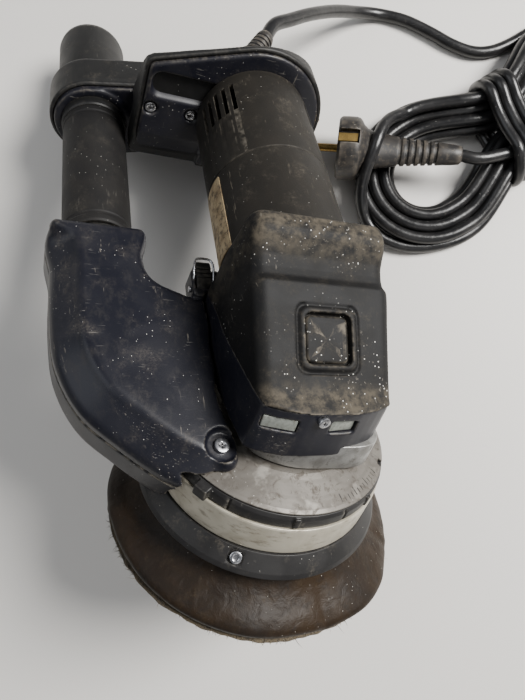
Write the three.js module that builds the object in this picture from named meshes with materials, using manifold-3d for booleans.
// Geared dual-mode polisher with dust extraction, lying on a table, in millimetres, +Z up.
// The tool is drawn in its own axes, then laid down in its resting pose by one turned group:
// +Y along the motor axis to the rear, +X to the right, origin where the motor and spindle axes cross.
import * as THREE from 'three';
import { mergeVertices } from 'three/addons/utils/BufferGeometryUtils.js';
import Module from 'manifold-3d';

const wasm = await Module();
wasm.setup();

// ---------------------------------------------------------------- driving dimensions
const GAP = 0.3;                       // between touching pieces
const PAD_RADIUS = 75;                 // 150 mm backing pad
const SPINDLE_TILT = THREE.MathUtils.degToRad(20);   // spindle leans back from the motor's vertical
const SPINDLE_LENGTH = 108.3;          // crossing point of the axes down to the pad's working face
const ECCENTRIC = 2.5;                 // pad orbit radius
const MOTOR = { outer: 31.6, wall: 3, front: 36, seam: 92, rear: 151.7 };
const TUBE = { x: -81.1, z: -41.6, outer: 15.3, inner: 13.4 };
const GRIP = { outer: 17.5, inner: 15.6, front: 84, rear: 172.7 };
const PORT = { outer: 20, inner: 15.7, mouth: 17, front: 186, rear: 251 };
// The bridge's motor end starts at front and its handle end at step.
const BRIDGE = { motorRadius: 41.5, tubeRadius: 25, wall: 2.2, plate: 3, front: 152, step: 180, rear: 206,
  left: -63, floor: -39 };
const DUCT = { top: -23, bottom: -60, split: -41.5, wall: 3.2, bevel: 5, rear: 83 };
const CAP = { wall: 3.6, bottom: 84.3, rear: 42, slope: 0.43, rise: 20.75 };
const FINE = 32;
const MEDIUM = 20;
const COARSE = 14;
const SMALL = 8;

// ---------------------------------------------------------------- materials
const look = (color, roughness, metalness = 0) =>
  new THREE.MeshStandardMaterial({ color, roughness, metalness });
const material = {
  motorPlastic: look(0x2f2c28, 0.6),
  navyPlastic: look(0x1c1e2a, 0.4),
  blackPlastic: look(0x18191b, 0.55),
  rubber: look(0x262624, 0.8),
  castAluminium: look(0x96989a, 0.45, 0.9),
  satinSilver: look(0xb4af9f, 0.4, 0.8),
  steel: look(0xa8aaac, 0.3, 1),
  gearSteel: look(0x6f7072, 0.35, 1),
  copper: look(0xb0693a, 0.4, 0.9),
  coreSteel: look(0x55565a, 0.5, 0.8),
  brass: look(0xb59a55, 0.35, 0.9),
  padBrown: look(0x4a3a28, 0.9),
  hookLayer: look(0x2a2724, 1),
  circuitGreen: look(0x1e4a33, 0.6),
  cordBlack: look(0x121314, 0.5),
};

// ---------------------------------------------------------------- solids
function tidied(geometry) {
  // Shared corners merged, slivers dropped and faces turned outwards.
  const source = geometry.clone();
  source.deleteAttribute('normal');
  source.deleteAttribute('uv');
  const merged = mergeVertices(source, 1e-4);
  const position = merged.getAttribute('position');
  const index = merged.getIndex().array;
  const kept = [];
  let volume = 0;
  const a = new THREE.Vector3();
  const b = new THREE.Vector3();
  const c = new THREE.Vector3();
  for (let i = 0; i < index.length; i += 3) {
    const [i0, i1, i2] = [index[i], index[i + 1], index[i + 2]];
    if (i0 === i1 || i1 === i2 || i2 === i0) continue;
    a.fromBufferAttribute(position, i0);
    b.fromBufferAttribute(position, i1);
    c.fromBufferAttribute(position, i2);
    volume += a.dot(b.clone().cross(c));
    kept.push(i0, i1, i2);
  }
  if (volume < 0) {
    for (let i = 0; i < kept.length; i += 3) [kept[i + 1], kept[i + 2]] = [kept[i + 2], kept[i + 1]];
  }
  merged.setIndex(kept);
  return merged;
}

function toManifold(geometry) {
  const mesh = tidied(geometry);
  return new wasm.Manifold(new wasm.Mesh({
    numProp: 3,
    vertProperties: new Float32Array(mesh.getAttribute('position').array),
    triVerts: new Uint32Array(mesh.getIndex().array),
  }));
}

function toGeometry(manifold) {
  const mesh = manifold.getMesh();
  const geometry = new THREE.BufferGeometry();
  geometry.setAttribute('position', new THREE.BufferAttribute(new Float32Array(mesh.vertProperties), 3));
  geometry.setIndex(new THREE.BufferAttribute(new Uint32Array(mesh.triVerts), 1));
  return geometry;
}

const combine = (how) => (base, ...others) =>
  toGeometry(others.reduce((sum, other) => sum[how](toManifold(other)), toManifold(base)));
const cut = combine('subtract');
const join = combine('add');
const common = combine('intersect');

// Turned on +Y from a profile of [radius, height] pairs that starts and ends on the axis.
function turned(profile, segments = MEDIUM) {
  return new THREE.LatheGeometry(profile.map(([r, y]) => new THREE.Vector2(r, y)), segments);
}

function disc(radius, from, to, segments = MEDIUM) {
  return turned([[0, from], [radius, from], [radius, to], [0, to]], segments);
}

function tube(outer, inner, from, to, segments = MEDIUM) {
  return turned([[inner, from], [outer, from], [outer, to], [inner, to], [inner, from]], segments);
}

function box(x0, x1, y0, y1, z0, z1) {
  return new THREE.BoxGeometry(x1 - x0, y1 - y0, z1 - z0)
    .translate((x0 + x1) / 2, (y0 + y1) / 2, (z0 + z1) / 2);
}

function shapeOf(points) {
  return new THREE.Shape(points.map(([x, y]) => new THREE.Vector2(x, y)));
}

function prism(points, height, bevel = 0) {
  return new THREE.ExtrudeGeometry(shapeOf(points), {
    depth: height - 2 * bevel,
    bevelEnabled: bevel > 0,
    bevelThickness: bevel,
    bevelSize: bevel,
    bevelOffset: -bevel,
    bevelSegments: 1,
  }).translate(0, 0, bevel);
}

// Joins convex loops of equal length, given as arrays of Vector3, and closes both ends.
function loft(loops) {
  const count = loops[0].length;
  const points = loops.flat();
  const middle = (loop) => loop.reduce((sum, p) => sum.add(p), new THREE.Vector3()).divideScalar(count);
  points.push(middle(loops[0]), middle(loops[loops.length - 1]));
  const first = points.length - 2;
  const last = points.length - 1;
  const index = [];
  for (let k = 0; k < count; k += 1) {
    const next = (k + 1) % count;
    index.push(first, next, k);
    const top = (loops.length - 1) * count;
    index.push(last, top + k, top + next);
    for (let s = 0; s < loops.length - 1; s += 1) {
      const low = s * count;
      const high = low + count;
      index.push(low + k, low + next, high + next, low + k, high + next, high + k);
    }
  }
  const geometry = new THREE.BufferGeometry().setFromPoints(points);
  geometry.setIndex(index);
  return geometry;
}

// Closed outline smoothed through its corner points.
function smoothOutline(points, count) {
  const corners = points.map(([x, y]) => new THREE.Vector3(x, y, 0));
  const curve = new THREE.CatmullRomCurve3(corners, true, 'centripetal');
  return curve.getSpacedPoints(count).slice(0, count).map((p) => [p.x, p.y]);
}

// Outline moved inwards by a distance, for a counter-clockwise outline.
function inset(points, distance) {
  return points.map((point, i) => {
    const before = points[(i + points.length - 1) % points.length];
    const after = points[(i + 1) % points.length];
    const along = new THREE.Vector2(after[0] - before[0], after[1] - before[1]).normalize();
    return [point[0] - along.y * distance, point[1] + along.x * distance];
  });
}

// Star of teeth for gears, slotted cores and fans: root and tip radii, and each tooth's share of its pitch.
function toothed(tip, root, teeth, share = 0.45) {
  const points = [];
  for (let k = 0; k < teeth; k += 1) {
    const pitch = (2 * Math.PI) / teeth;
    const corners = [[root, 0], [tip, 0.12], [tip, share], [root, share + 0.12]];
    for (const [radius, part] of corners) {
      const angle = (k + part) * pitch;
      points.push([radius * Math.cos(angle), radius * Math.sin(angle)]);
    }
  }
  return points;
}

// ---------------------------------------------------------------- places
// Spindle pieces are turned on +Y with heights above the pad's working face, then leaned onto the spindle.
const spindleFrame = new THREE.Matrix4()
  .makeRotationX(Math.PI / 2 - SPINDLE_TILT)
  .multiply(new THREE.Matrix4().makeTranslation(0, -SPINDLE_LENGTH, 0));
const onSpindle = (geometry) => geometry.clone().applyMatrix4(spindleFrame);
// Upright prisms (their extrusion along +Z) placed the same way.
const uprightFrame = new THREE.Matrix4()
  .makeRotationX(-SPINDLE_TILT)
  .multiply(new THREE.Matrix4().makeTranslation(0, 0, -SPINDLE_LENGTH));
const upright = (geometry) => geometry.clone().applyMatrix4(uprightFrame);
const spindlePoint = (x, y, height) => new THREE.Vector3(x, y, height).applyMatrix4(uprightFrame);
const spindleDirection = (x, y, z) => new THREE.Vector3(x, y, z).transformDirection(uprightFrame);
const onTube = (geometry) => geometry.clone().translate(TUBE.x, 0, TUBE.z);
// A prism drawn in x and z, standing from one y to another.
const alongY = (points, from, to) => prism(points, to - from).rotateX(Math.PI / 2).translate(0, to, 0);

function aimed(geometry, origin, direction) {
  const upwards = new THREE.Vector3(0, 1, 0);
  const turn = new THREE.Quaternion().setFromUnitVectors(upwards, direction.clone().normalize());
  return geometry.clone().applyQuaternion(turn).translate(origin.x, origin.y, origin.z);
}

// Screw whose head stands on a point of a face, with the hole it needs; direction points out of the face.
function screw(origin, direction, headRadius, headHeight, shank) {
  const core = headRadius * 0.5;
  const body = turned([[0, -shank], [core, -shank], [core, 0], [headRadius, 0],
    [headRadius, headHeight * 0.7], [headRadius * 0.75, headHeight], [headRadius * 0.4, headHeight],
    [headRadius * 0.4, headHeight * 0.45], [0, headHeight * 0.45]], SMALL);
  const hole = disc(core + GAP, -shank - 1, 1, SMALL);
  const sink = disc(headRadius + 0.6, -GAP, headHeight + 20, COARSE);
  return {
    body: aimed(body, origin, direction),
    hole: aimed(hole, origin, direction),
    sink: aimed(sink, origin, direction),
  };
}

const tool = new THREE.Group();
const cordGroup = new THREE.Group();

function piece(name, geometry, mat, parent = tool) {
  const mesh = new THREE.Mesh(tidied(geometry), mat);
  mesh.name = name;
  parent.add(mesh);
  return mesh;
}

// ---------------------------------------------------------------- motor
function motorHousings() {
  const inner = MOTOR.outer - MOTOR.wall;
  const field = tube(MOTOR.outer, inner, MOTOR.front, MOTOR.seam - GAP / 2);
  piece('field_housing', field, material.motorPlastic);
  const vents = [];
  for (let row = 0; row < 5; row += 1) {
    for (const side of [-1, 1]) {
      const angle = THREE.MathUtils.degToRad(90 - side * (42 + row * 9));
      const slot = box(MOTOR.outer - 6, MOTOR.outer + 4, 124, 144, -1.1, 1.1).rotateY(-angle);
      vents.push(slot);
    }
  }
  const brush = cut(tube(MOTOR.outer, inner, MOTOR.seam + GAP / 2, MOTOR.rear), ...vents);
  piece('brush_housing', brush, material.motorPlastic);
  const plate = tube(inner - GAP, 11.4, MOTOR.front + 0.5, MOTOR.front + 6);
  piece('front_bearing_plate', plate, material.castAluminium);
}

function motorInternals() {
  const coreFrom = 60;
  const coreTo = 100;
  const fieldRadius = MOTOR.outer - MOTOR.wall - GAP;
  piece('front_bearing', tube(11.1, 4.3, 36.5, 43.5, COARSE), material.steel);
  piece('rear_bearing', tube(9.6, 4.3, 136, 142, COARSE), material.steel);
  piece('field_core', tube(fieldRadius, 22.5, coreFrom, coreTo), material.coreSteel);
  piece('field_winding', tube(22.2, 18.6, coreFrom - 8, coreTo + 8), material.copper);
  const shaft = turned([[0, 9.5], [2.6, 9.5], [2.6, 20], [4, 20], [4, 143], [0, 143]], COARSE);
  piece('armature_shaft', shaft, material.steel);
  const pinionTeeth = 6;
  const pinion = alongY(toothed(1, 0.78, pinionTeeth), 0, 8)
    .translate(0, 11.3, 0);
  // The teeth narrow towards the crossing of the axes, as a bevel pinion's do.
  const position = pinion.getAttribute('position');
  for (let i = 0; i < position.count; i += 1) {
    const radius = position.getY(i) * Math.tan(THREE.MathUtils.degToRad(17));
    position.setX(i, position.getX(i) * radius);
    position.setZ(i, position.getZ(i) * radius);
  }
  piece('pinion', cut(pinion, disc(3.1, 5, 25, SMALL)), material.gearSteel);
  const lamination = cut(alongY(toothed(18.2, 15.6, 12, 0.7), coreFrom, coreTo),
    disc(12.6, coreFrom - 1, coreTo + 1, COARSE));
  piece('armature_core', lamination, material.coreSteel);
  piece('armature_winding', tube(12.3, 4.3, coreFrom - 7, coreTo + 10, COARSE), material.copper);
  piece('commutator', tube(11, 4.3, coreTo + 13, coreTo + 29, COARSE), material.brass);
  const blades = [];
  for (let k = 0; k < 9; k += 1) blades.push(box(9, 25, 47, 51, -0.7, 0.7).rotateY((k * 2 * Math.PI) / 9));
  piece('cooling_fan', join(tube(25.5, 4.3, 44.5, 47.5), ...blades), material.blackPlastic);
  for (const [side, name] of [[-1, 'left'], [1, 'right']]) {
    const holder = side < 0 ? box(-27, -11.6, 116, 126, -4, 4) : box(11.6, 27, 116, 126, -4, 4);
    piece(`carbon_brush_${name}`, holder, material.brass);
  }
}

// ---------------------------------------------------------------- gear head
// Outline of the rubber head cover across the motor axis at one y, shrunk by an inset.
function capSection(y, halfTop, top, shrink) {
  const half = halfTop - shrink;
  const crown = top - shrink;
  const foot = -46;
  const corner = 5;
  const spread = 3.5;
  const points = [[-half - spread, foot], [-half - spread / 2, crown - 24]];
  for (const side of [-1, 1]) {
    for (let k = 0; k <= 3; k += 1) {
      const turn = (k / 3) * (Math.PI / 2);
      const out = side < 0 ? Math.cos(turn) : Math.sin(turn);
      const up = side < 0 ? Math.sin(turn) : Math.cos(turn);
      points.push([side * (half - corner + corner * out), crown - corner + corner * up]);
    }
  }
  points.push([half + spread / 2, crown - 24], [half + spread, foot]);
  return points.map(([x, z]) => new THREE.Vector3(x, y, z));
}

const capTop = (y) => CAP.rise + CAP.slope * y;

function capSolid(shrink) {
  const front = -46 + shrink;
  const stations = [
    [front, 28, capTop(-26) - 1.5],
    [-26 + shrink * 0.5, 30, capTop(-26)],
    [12, 32, capTop(12)],
    [17, 32, capTop(17) - 2],
    [26, 31.5, capTop(26) - 3],
    [31, 31.5, capTop(31)],
    [34, 31.5, 36],
    [CAP.rear - (shrink > 0 ? -1 : 0), 31.5, 36.3],
  ];
  const body = loft(stations.map(([y, half, top]) => capSection(y, half, top, shrink)));
  const plan = smoothOutline([[-36, 64], [-37, 20], [-36.5, -14], [-31, -29.5], [-16, -36], [0, -37],
    [16, -36], [31, -29.5], [36.5, -14], [37, 20], [36, 64]], 18);
  const walls = upright(prism(inset(plan, shrink), 80).translate(0, 0, CAP.bottom - (shrink > 0 ? 5 : 0)));
  return common(body, walls);
}

const buttonTurn = -Math.atan(CAP.slope);
const buttonPlace = (geometry) => geometry.rotateX(-buttonTurn).translate(0, -7, capTop(-7));

function roundedSquare(half, corner) {
  const points = [];
  for (const [sx, sy, start] of [[1, 1, 0], [-1, 1, 90], [-1, -1, 180], [1, -1, 270]]) {
    for (let k = 0; k <= 3; k += 1) {
      const turn = THREE.MathUtils.degToRad(start + k * 30);
      const middle = half - corner;
      points.push([sx * middle + corner * Math.cos(turn), sy * middle + corner * Math.sin(turn)]);
    }
  }
  return points;
}

const headScrew = screw(spindlePoint(-4, -37.4, 100), spindleDirection(0, -1, 0), 2.6, 1.6, 5);

function gearHead() {
  const motorClear = disc(MOTOR.outer + GAP, MOTOR.front - GAP, 60);
  const pocket = buttonPlace(prism(roundedSquare(10, 3), 12).translate(0, 0, -8));
  const slots = [[-28, -14], [-1, 12]].map(([x0, x1]) =>
    upright(box(x0, x1, -50, -30, 97.5, 101.5)));
  const cover = cut(capSolid(0), capSolid(CAP.wall), motorClear, pocket, ...slots, headScrew.hole);
  piece('head_cover', cover, material.rubber);
  piece('head_cover_screw', headScrew.body, material.steel);
  const button = buttonPlace(prism(roundedSquare(9.6, 2.7), 2).translate(0, 0, -2.6));
  piece('spindle_lock_button', button, material.rubber);

  const gap = CAP.wall + 0.8;
  const wall = 3;
  const neckPlan = smoothOutline([[33.5, 0], [31, 20], [18, 30], [0, 33.5], [-18, 29], [-31, 14], [-34, 0],
    [-31.5, -12], [-22, -25.5], [-8, -34], [10, -36], [25, -35.5], [32, -30], [33.5, -18]], 26);
  const neck = upright(prism(neckPlan, 14.4).translate(0, 0, 69.4));
  const tower = common(onSpindle(disc(27, 80, 140, 22)), capSolid(gap));
  const seat = onSpindle(disc(8.3, 100, SPINDLE_LENGTH + 11.3, COARSE));
  const below = onSpindle(disc(40, 60, 90));
  const hollow = common(onSpindle(disc(23.7, 75.5, 140, 22)), join(capSolid(gap + wall), below));
  const lowerSeat = onSpindle(disc(15.4, 60, 76));
  const motorBore = disc(13, 4, 60, COARSE);
  const gearHousing = cut(join(neck, tower), hollow, seat, lowerSeat, motorBore);
  piece('gear_housing', gearHousing, material.castAluminium);
}

// ---------------------------------------------------------------- hood and pad
function hood() {
  const bandOuter = 54.8;
  const skirt = 48.7;
  const flange = onSpindle(turned([[15.4, 62.4], [45.4, 62.4], [45.4, 45.3], [skirt, 45.3], [skirt, 62.4],
    [53, 62.4], [53, 63.1], [37, 69.1], [15.4, 69.1], [15.4, 62.4]], FINE));
  piece('graduated_flange', flange, material.castAluminium);
  const ring = onSpindle(tube(54, skirt + GAP, 55.2, 62.1, FINE));
  const lugPlace = new THREE.Matrix4().makeRotationZ(THREE.MathUtils.degToRad(218));
  const lug = upright(box(52, 58, -3, 3, 55.6, 61.8).applyMatrix4(lugPlace));
  piece('mode_ring', join(ring, lug), material.blackPlastic);
  const window = upright(box(-60, -46, -13, 13, 41, 49));
  const band = onSpindle(turned([[51.6, 38.4], [bandOuter, 38.4], [bandOuter, 54.9], [skirt + GAP, 54.9],
    [skirt + GAP, 51.8], [51.6, 51.8], [51.6, 38.4]], FINE));
  piece('hood_band', cut(band, window), material.satinSilver);
  const skirtRing = turned([[52, 38.1], [55.2, 38.1], [60.8, 31.6], [61.8, 29.2], [59.8, 29.2], [58, 31],
    [52, 36.5], [52, 38.1]], FINE);
  const screws = [0, 1, 2].map((k) => {
    const angle = THREE.MathUtils.degToRad(-118 + 120 * k);
    const outwards = spindleDirection(Math.cos(angle) * 0.76, Math.sin(angle) * 0.76, 0.65);
    const seat = spindlePoint(58.2 * Math.cos(angle), 58.2 * Math.sin(angle), 35.2);
    return screw(seat, outwards, 2.6, 1.8, 2);
  });
  piece('hood_skirt', cut(onSpindle(skirtRing), ...screws.map((s) => s.hole)), material.blackPlastic);
  screws.forEach((s, k) => piece(`hood_screw_${k + 1}`, s.body, material.steel));
  const innerTeeth = prism(toothed(44.2, 42.6, 18), 8).translate(0, 0, 36.2);
  const ringGear = cut(onSpindle(disc(51.3, 37, 43.6, FINE)), upright(innerTeeth));
  piece('drive_ring_gear', ringGear, material.gearSteel);
}

function spindleParts() {
  piece('spindle_bearing_lower', onSpindle(tube(15.1, 6.8, 63, 74, COARSE)), material.steel);
  const up = SPINDLE_LENGTH;
  piece('spindle_bearing_upper', onSpindle(tube(8, 5.3, up + 7.5, up + 11, COARSE)), material.steel);
  const shaft = turned([[0, 57], [6.5, 57], [6.5, 98], [5, 98], [5, up + 11], [0, up + 11]], COARSE);
  piece('spindle', onSpindle(shaft), material.gearSteel);
  const crownBase = tube(17, 6.8, up - 8, up - 3, COARSE);
  const teeth = [];
  for (let k = 0; k < 18; k += 1) {
    teeth.push(box(11, 16.5, up - 3.5, up - 0.4, -0.9, 0.9).rotateY((k * 2 * Math.PI) / 18));
  }
  piece('crown_gear', onSpindle(join(crownBase, ...teeth)), material.gearSteel);
  const offset = (geometry) => geometry.translate(ECCENTRIC, 0, 0);
  const hub = join(disc(26, 47, 52, MEDIUM), disc(12, 51.5, 56.7, COARSE),
    offset(disc(9, 31.2, 47.5, COARSE)));
  const weight = common(tube(32, 20, 45.5, 53, MEDIUM), box(-40, -4, 40, 60, -40, 40));
  const screwHole = offset(disc(4.4, 25, 46, SMALL));
  piece('eccentric_hub', onSpindle(cut(join(hub, weight), screwHole)), material.gearSteel);
}

function padParts() {
  const offset = (geometry) => onSpindle(geometry.translate(ECCENTRIC, 0, 0));
  piece('pad_bearing', offset(tube(15.6, 9.3, 34, 44, COARSE)), material.steel);
  const gearTeeth = prism(toothed(39, 37.6, 17), 7).translate(0, 0, 37.3);
  const gearBase = join(upright(gearTeeth.translate(ECCENTRIC, 0, 0)), offset(disc(30, 30.4, 37.6, MEDIUM)));
  piece('pad_gear', cut(gearBase, offset(disc(15.9, 33.8, 60, COARSE)), offset(disc(9.4, 20, 40, COARSE))),
    material.gearSteel);
  const body = turned([[8, 2.1], [72.5, 2.1], [PAD_RADIUS, 5.5], [PAD_RADIUS, 9.7], [66, 14.5], [59, 20],
    [54, 27], [50, 30.1], [8, 30.1], [8, 2.1]], FINE);
  piece('backing_pad', offset(cut(body, disc(12, 0, 16, COARSE))), material.padBrown);
  piece('hook_layer', offset(tube(73.5, 12.5, 0, 1.8, FINE)), material.hookLayer);
  const bolt = turned([[0, 11], [2.5, 11], [2.5, 8.6], [7, 8.6], [7, 13], [4, 15.7], [4, 45.5],
    [0, 45.5]], SMALL);
  piece('pad_screw', offset(join(bolt, disc(10.5, 14.2, 15.7, COARSE))), material.steel);
}

// ---------------------------------------------------------------- extraction duct and handle
const ductOutline = smoothOutline([[-103, 83], [-103.6, 58], [-103.4, 32], [-100.5, 8], [-91, -13],
  [-76, -28], [-60, -41], [-47, -48], [-38, -49], [-31, -45], [-28.5, -36], [-30, -14], [-31.5, 6], [-31, 20],
  [-27, 33], [-25, 44], [-28, 50], [-36, 50.5], [-44, 47], [-53, 48], [-59.5, 54], [-61.8, 64],
  [-62, 83]], 40)
  .map(([x, y]) => [x, Math.min(y, DUCT.rear)]);

function ductClearance() {
  // Room for the hood, the turning mode ring, the flange's cone, the neck and the head cover.
  const hoodRoom = onSpindle(turned([[0, 20], [64, 20], [64, 33], [59.8, 40], [59.8, 63.6], [53.5, 63.6],
    [37.3, 69.7], [35, 69.7], [35, 150], [0, 150]], FINE));
  return [hoodRoom, capSolid(-0.5), disc(MOTOR.outer + 0.5, 30, 80)];
}

// One duct screw goes in from above and one from below.
const ductScrews = [
  screw(new THREE.Vector3(-36, -34, DUCT.top - 2), new THREE.Vector3(0, 0, 1), 3.2, 1.9, 3),
  screw(new THREE.Vector3(-95, 30, DUCT.bottom + 2), new THREE.Vector3(0, 0, -1), 3.2, 1.9, 3),
];

function duct() {
  const height = DUCT.top - DUCT.bottom;
  const outer = prism(ductOutline, height, DUCT.bevel).translate(0, 0, DUCT.bottom);
  const hollowOutline = inset(ductOutline, DUCT.wall + 1.2);
  const hollow = common(prism(hollowOutline, height - 2 * DUCT.wall).translate(0, 0, DUCT.bottom + DUCT.wall),
    box(-120, -41, -60, 76, -80, 0));
  const bore = onTube(disc(TUBE.outer + GAP, 70, 90));
  const mouth = upright(box(-66, -40, -13, 13, 41, 49));
  const top = box(-130, 0, -80, 120, DUCT.split + GAP / 2, 20);
  const base = box(-130, 0, -80, 120, -90, DUCT.split - GAP / 2);
  const shapes = [hollow, bore, mouth, ...ductClearance()];
  const latchRoom = box(-40, -20, 43.2, 70, -31, 0);
  const [above, below] = ductScrews.map((s) => [s.hole, s.sink]);
  piece('duct_upper_shell', cut(common(outer, top), ...shapes, latchRoom, ...above), material.navyPlastic);
  piece('duct_lower_shell', cut(common(outer, base), ...shapes, ...below), material.navyPlastic);
  ductScrews.forEach((s, k) => piece(`duct_screw_${k + 1}`, s.body, material.steel));
}

function latch() {
  const pinY = 46.5;
  const pinZ = -25;
  const pin = disc(1.2, -38.6, -26.4, SMALL).rotateZ(-Math.PI / 2).translate(0, pinY, pinZ);
  piece('latch_pin', pin, material.steel);
  const block = join(box(-38.4, -30.4, pinY, 58, -27, -20.5), box(-38.4, -30.4, 56.5, 60, -29, -19.5),
    disc(3, -38.4, -30.4, COARSE).rotateZ(-Math.PI / 2).translate(0, pinY, pinZ));
  const eye = disc(1.5, -60, 0, SMALL).rotateZ(-Math.PI / 2).translate(0, pinY, pinZ);
  piece('duct_latch', cut(block, eye), material.blackPlastic);
}

function handle() {
  piece('extraction_tube', onTube(tube(TUBE.outer, TUBE.inner, 72, 200)), material.blackPlastic);
  piece('grip_sleeve', onTube(tube(GRIP.outer, GRIP.inner, GRIP.front, GRIP.rear)), material.rubber);
  const collar = tube(18.3, GRIP.inner, GRIP.rear + GAP, BRIDGE.step - GAP);
  piece('grip_collar', onTube(collar), material.blackPlastic);
  const port = turned([[PORT.inner, PORT.front], [PORT.outer, PORT.front], [PORT.outer, PORT.rear],
    [PORT.mouth, PORT.rear], [PORT.mouth, 206], [PORT.inner, 203], [PORT.inner, PORT.front]]);
  piece('hose_port', onTube(port), material.blackPlastic);
}

// ---------------------------------------------------------------- rear bridge
function arcPoints(cx, cz, radius, from, to, steps) {
  return Array.from({ length: steps + 1 }, (_, k) => {
    const angle = THREE.MathUtils.degToRad(from + ((to - from) * k) / steps);
    return [cx + radius * Math.cos(angle), cz + radius * Math.sin(angle)];
  });
}

// A corner between two straight sides, rounded over a reach along each.
function roundedCorner(before, corner, after, reach) {
  const at = new THREE.Vector2(...corner);
  const start = new THREE.Vector2(...before).sub(at).setLength(reach).add(at);
  const end = new THREE.Vector2(...after).sub(at).setLength(reach).add(at);
  const curve = new THREE.QuadraticBezierCurve(start, at, end);
  return curve.getPoints(3).map((p) => [p.x, p.y]);
}

// The motor end's outline in x and z: the motor circle with a web that reaches left, moved in by a distance.
function webOutline(shrink) {
  const radius = BRIDGE.motorRadius - shrink;
  const floor = BRIDGE.floor + shrink;
  const left = BRIDGE.left + shrink;
  const from = 180 - THREE.MathUtils.radToDeg(Math.asin(floor / radius));
  const fall = 20;
  const circle = arcPoints(0, 0, radius, from, 450 + fall, 15);
  const [topX, topZ] = circle[circle.length - 1];
  const top = topZ - (topX - left) * Math.tan(THREE.MathUtils.degToRad(fall));
  return [...circle, ...roundedCorner([topX, topZ], [left, top], [left, floor], 7),
    ...roundedCorner([left, top], [left, floor], [0, floor], 4)];
}

// The handle end's outline: the tube circle with a low web that reaches under the motor.
function lobeOutline(shrink) {
  const circle = arcPoints(TUBE.x, TUBE.z, BRIDGE.tubeRadius - shrink, 101, 287, 12);
  return [...circle, [12 - shrink * 0.3, -39.7 + shrink], [0, -30 - shrink], [-50 - shrink, -30 - shrink],
    [-50 - shrink, -9.9 - shrink * 1.2]];
}

// The back of the motor end slopes down to the rear from its top edge.
const backPoint = new THREE.Vector3(0, 157, BRIDGE.motorRadius);
const backNormal = new THREE.Vector3(-0.19, 1, 0.62).normalize();
const inFrontOfBack = (depth) => aimed(disc(260, -220, -depth, COARSE), backPoint, backNormal);

function onBack(x, z) {
  const drop = backNormal.x * x + backNormal.z * (z - backPoint.z);
  return new THREE.Vector3(x, backPoint.y - drop / backNormal.y, z);
}

const bridgeScrewPlaces = [[-56.3, -5], [-34, -5]];
const bridgeScrews = bridgeScrewPlaces.map(([x, z]) =>
  screw(new THREE.Vector3(x, BRIDGE.front + 2.2, z), new THREE.Vector3(0, -1, 0), 2.8, 1.9, 4));
const boot = {
  base: onBack(-8, 24),
  direction: new THREE.Vector3(0.5, 0.82, 0.27).normalize(),
  length: 24,
};
const DIAL = { place: onBack(-36, -8), radius: 9 };

function bridgeFront() {
  const web = common(alongY(webOutline(BRIDGE.wall + GAP), BRIDGE.front, BRIDGE.front + BRIDGE.plate),
    inFrontOfBack(BRIDGE.wall + GAP));
  const lobe = alongY(lobeOutline(BRIDGE.wall + GAP), BRIDGE.step, BRIDGE.step + BRIDGE.plate);
  const inside = BRIDGE.left + BRIDGE.wall + GAP;
  const link = box(inside, inside + 2.5, BRIDGE.front + 2, BRIDGE.step + 1, -31, -21);
  const bosses = bridgeScrewPlaces.map(([x, z]) =>
    disc(4, BRIDGE.front + 1, BRIDGE.front + 10, SMALL).translate(x, 0, z));
  // Scoop under the top edge of the web, with its floor rising to a lip above the screws.
  const scoop = (grow) => box(-57 - grow, -36 + grow, BRIDGE.front - 2 + grow, BRIDGE.front + 5 + grow,
    3 - grow, 12 + grow);
  const slant = box(-80, -22, -20, 0, -60, 0).rotateX(THREE.MathUtils.degToRad(-18))
    .translate(0, BRIDGE.front, -21);
  const motorHole = disc(24, 140, 160);
  const tubeHole = onTube(disc(TUBE.outer + GAP, 170, 185));
  const shell = cut(join(web, lobe, link, ...bosses, scoop(1.6)), scoop(0), motorHole, tubeHole,
    common(slant, box(-80, -22, 140, BRIDGE.front + 1.6, -60, 0)),
    ...bridgeScrews.flatMap((s) => [s.hole, s.sink]));
  piece('bridge_front_shell', shell, material.navyPlastic);
  bridgeScrews.forEach((s, k) => piece(`bridge_screw_${k + 1}`, s.body, material.steel));
}

function bridgeRear() {
  const rim = 1.5;
  const motorEnd = common(alongY(webOutline(0), BRIDGE.front + rim, BRIDGE.rear), inFrontOfBack(0));
  const handleEnd = alongY(lobeOutline(0), BRIDGE.step + rim, BRIDGE.rear);
  const roomEnd = BRIDGE.rear - BRIDGE.wall;
  const motorRoom = common(alongY(webOutline(BRIDGE.wall), 140, roomEnd), inFrontOfBack(BRIDGE.wall));
  const handleRoom = alongY(lobeOutline(BRIDGE.wall), BRIDGE.step - GAP, roomEnd);
  const dialHole = aimed(disc(DIAL.radius + GAP, -12, 20, COARSE), DIAL.place, backNormal);
  const bootHole = aimed(disc(6.4, -9, boot.length, COARSE), boot.base, boot.direction);
  const portHole = onTube(disc(PORT.outer + GAP, 190, 230));
  const slideRoom = box(38.2, 60, 157, 181, -5, 5);
  const cover = cut(join(motorEnd, handleEnd), motorRoom, handleRoom, dialHole, bootHole, portHole,
    slideRoom);
  piece('bridge_rear_cover', cover, material.blackPlastic);
}

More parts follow.
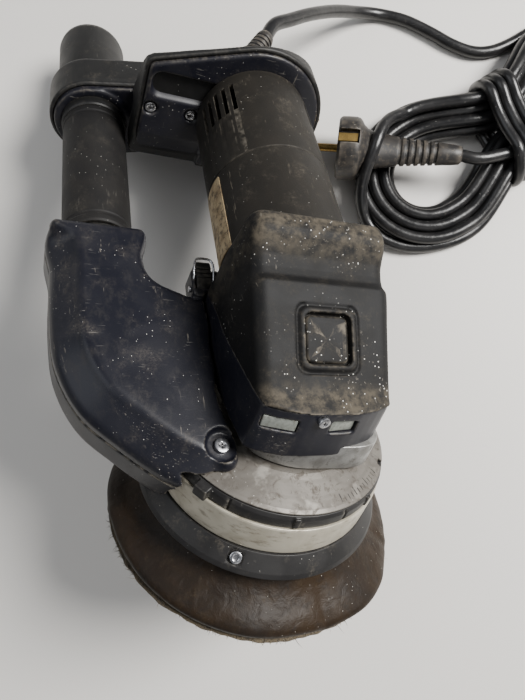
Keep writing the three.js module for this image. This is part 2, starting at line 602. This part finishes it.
function bridgeFittings() {
  const relief = turned([[0, -7], [6, -7], [6, 3], [5.4, 12], [4.6, boot.length], [0, boot.length]], COARSE);
  piece('cord_boot', aimed(relief, boot.base, boot.direction), material.rubber);
  piece('speed_module', box(-24, 18, 162, 174, -30, -8), material.circuitGreen);
  const wheel = alongY(toothed(DIAL.radius, DIAL.radius - 0.7, 14, 0.5), -5, 4.5);
  const dial = join(wheel, disc(5, -12, -4, SMALL));
  piece('speed_dial', aimed(dial, DIAL.place, backNormal), material.blackPlastic);
  const slide = join(box(38.6, 43.4, 160.4, 174.4, -4.6, 4.6), box(43, 45, 163, 165, -4.6, 4.6),
    box(43, 45, 167, 169, -4.6, 4.6));
  piece('power_slide', slide, material.blackPlastic);
}

// ---------------------------------------------------------------- assembly in the tool's axes
motorHousings();
motorInternals();
gearHead();
hood();
spindleParts();
padParts();
duct();
latch();
handle();
bridgeFront();
bridgeRear();
bridgeFittings();

// ---------------------------------------------------------------- resting pose
// The tool lies on the pad's rim, the hose port and the bridge: the plane through the lowest corner of each.
function restingTurn(names, guess) {
  const corners = names.map((name) => tool.getObjectByName(name).geometry.getAttribute('position'));
  const up = guess.clone().normalize();
  const lowest = (position) => {
    const best = new THREE.Vector3();
    const point = new THREE.Vector3();
    let least = Infinity;
    for (let i = 0; i < position.count; i += 1) {
      const height = point.fromBufferAttribute(position, i).dot(up);
      if (height < least) {
        least = height;
        best.copy(point);
      }
    }
    return best;
  };
  for (let round = 0; round < 12; round += 1) {
    const [a, b, c] = corners.map(lowest);
    const normal = b.sub(a).cross(c.sub(a)).normalize();
    if (normal.dot(up) < 0) normal.negate();
    up.copy(normal);
  }
  const right = new THREE.Vector3(0, 1, 0).cross(up).normalize();
  const rear = up.clone().cross(right);
  return new THREE.Matrix4().makeBasis(right, rear, up).transpose();
}

const restingGuess = new THREE.Vector3(-0.389, -0.403, 0.828);
tool.quaternion.setFromRotationMatrix(
  restingTurn(['hook_layer', 'hose_port', 'bridge_rear_cover'], restingGuess));
tool.updateMatrixWorld(true);
const standing = new THREE.Box3().setFromObject(tool, true);
const foot = standing.getCenter(new THREE.Vector3()).setZ(standing.min.z);
tool.position.sub(foot);

// ---------------------------------------------------------------- cord, on the table
const CORD = { diameter: 7.5, rise: 4 };
// The lead's route from the strain relief to the hank, chosen by hand.
const leadRoute = [[55.5, 125.5, 68.8], [62.1, 134.2, 64.9], [72.8, 141, 56.5], [88, 150.5, 44],
  [107, 161, 27], [126, 168, 11], [142, 168, CORD.rise], [158, 160, CORD.rise], [173, 148, CORD.rise],
  [185, 136.8, CORD.rise], [193.5, 126, CORD.rise]];

// The hank lies flat: two end lobes and a raised waist under its tie.
const HANK = { x: 147, y: 50, turn: THREE.MathUtils.degToRad(20), run: 130, lobe: 51, height: 17, waist: 60 };
const PLUG = { x: 91, y: 75, z: 20, face: 19.2, length: 78 };
const plugDirection = new THREE.Vector3(0.948, -0.306, 0.087).normalize();

function stadium(length, radius) {
  const points = [];
  for (const [centre, start] of [[length, -90], [0, 90]]) {
    for (let k = 0; k <= 12; k += 1) {
      const angle = THREE.MathUtils.degToRad(start + k * 15);
      points.push([centre + radius * Math.cos(angle), radius * Math.sin(angle)]);
    }
  }
  return points;
}

function cord() {
  const path = new THREE.CatmullRomCurve3(leadRoute.map(([x, y, z]) => new THREE.Vector3(x, y, z)));
  const sides = 8;
  const section = shapeOf(Array.from({ length: sides }, (_, k) => {
    const angle = (k / sides) * 2 * Math.PI;
    return [Math.cos(angle) * CORD.diameter / 2, Math.sin(angle) * CORD.diameter / 2];
  }));
  piece('cord_lead', new THREE.ExtrudeGeometry(section, { steps: 12, extrudePath: path }), material.cordBlack,
    cordGroup);

  const onHank = (geometry) => geometry.rotateZ(HANK.turn).translate(HANK.x, HANK.y, 0);
  const plugAt = new THREE.Vector3(PLUG.x, PLUG.y, PLUG.z);
  const plugRoom = aimed(turned([[0, -3], [20.5, -3], [20.5, 16], [14.5, 17], [11.5, 30], [8.5, 50],
    [7, PLUG.length], [0, PLUG.length]], COARSE), plugAt, plugDirection);
  const flat = prism(stadium(HANK.run, HANK.lobe), HANK.height).translate(0, 0, GAP);
  const raised = box(HANK.waist - 39, HANK.waist + 30, -34, 34, 1, 29);
  piece('cord_hank', cut(join(onHank(flat), onHank(raised)), plugRoom), material.cordBlack, cordGroup);

  const plug = turned([[0, 0], [18, 0], [PLUG.face, 2], [PLUG.face, 13], [16, 15.5], [12.5, 18], [10.5, 30],
    [7.6, 44], [6, PLUG.length - GAP], [0, PLUG.length - GAP]]);
  piece('plug_body', aimed(plug, plugAt, plugDirection), material.rubber, cordGroup);
  const sideways = new THREE.Vector3(0, 0, 1).cross(plugDirection).normalize();
  for (const [side, name] of [[-1, 'front'], [1, 'rear']]) {
    const pinAt = plugAt.clone().addScaledVector(sideways, side * 9.5);
    const pin = turned([[0, -19], [1.6, -19], [2.4, -17.5], [2.4, -GAP], [0, -GAP]], SMALL);
    piece(`plug_pin_${name}`, aimed(pin, pinAt, plugDirection), material.brass, cordGroup);
  }
}
cord();

const group = new THREE.Group();
group.add(tool);
group.add(cordGroup);
export default group;
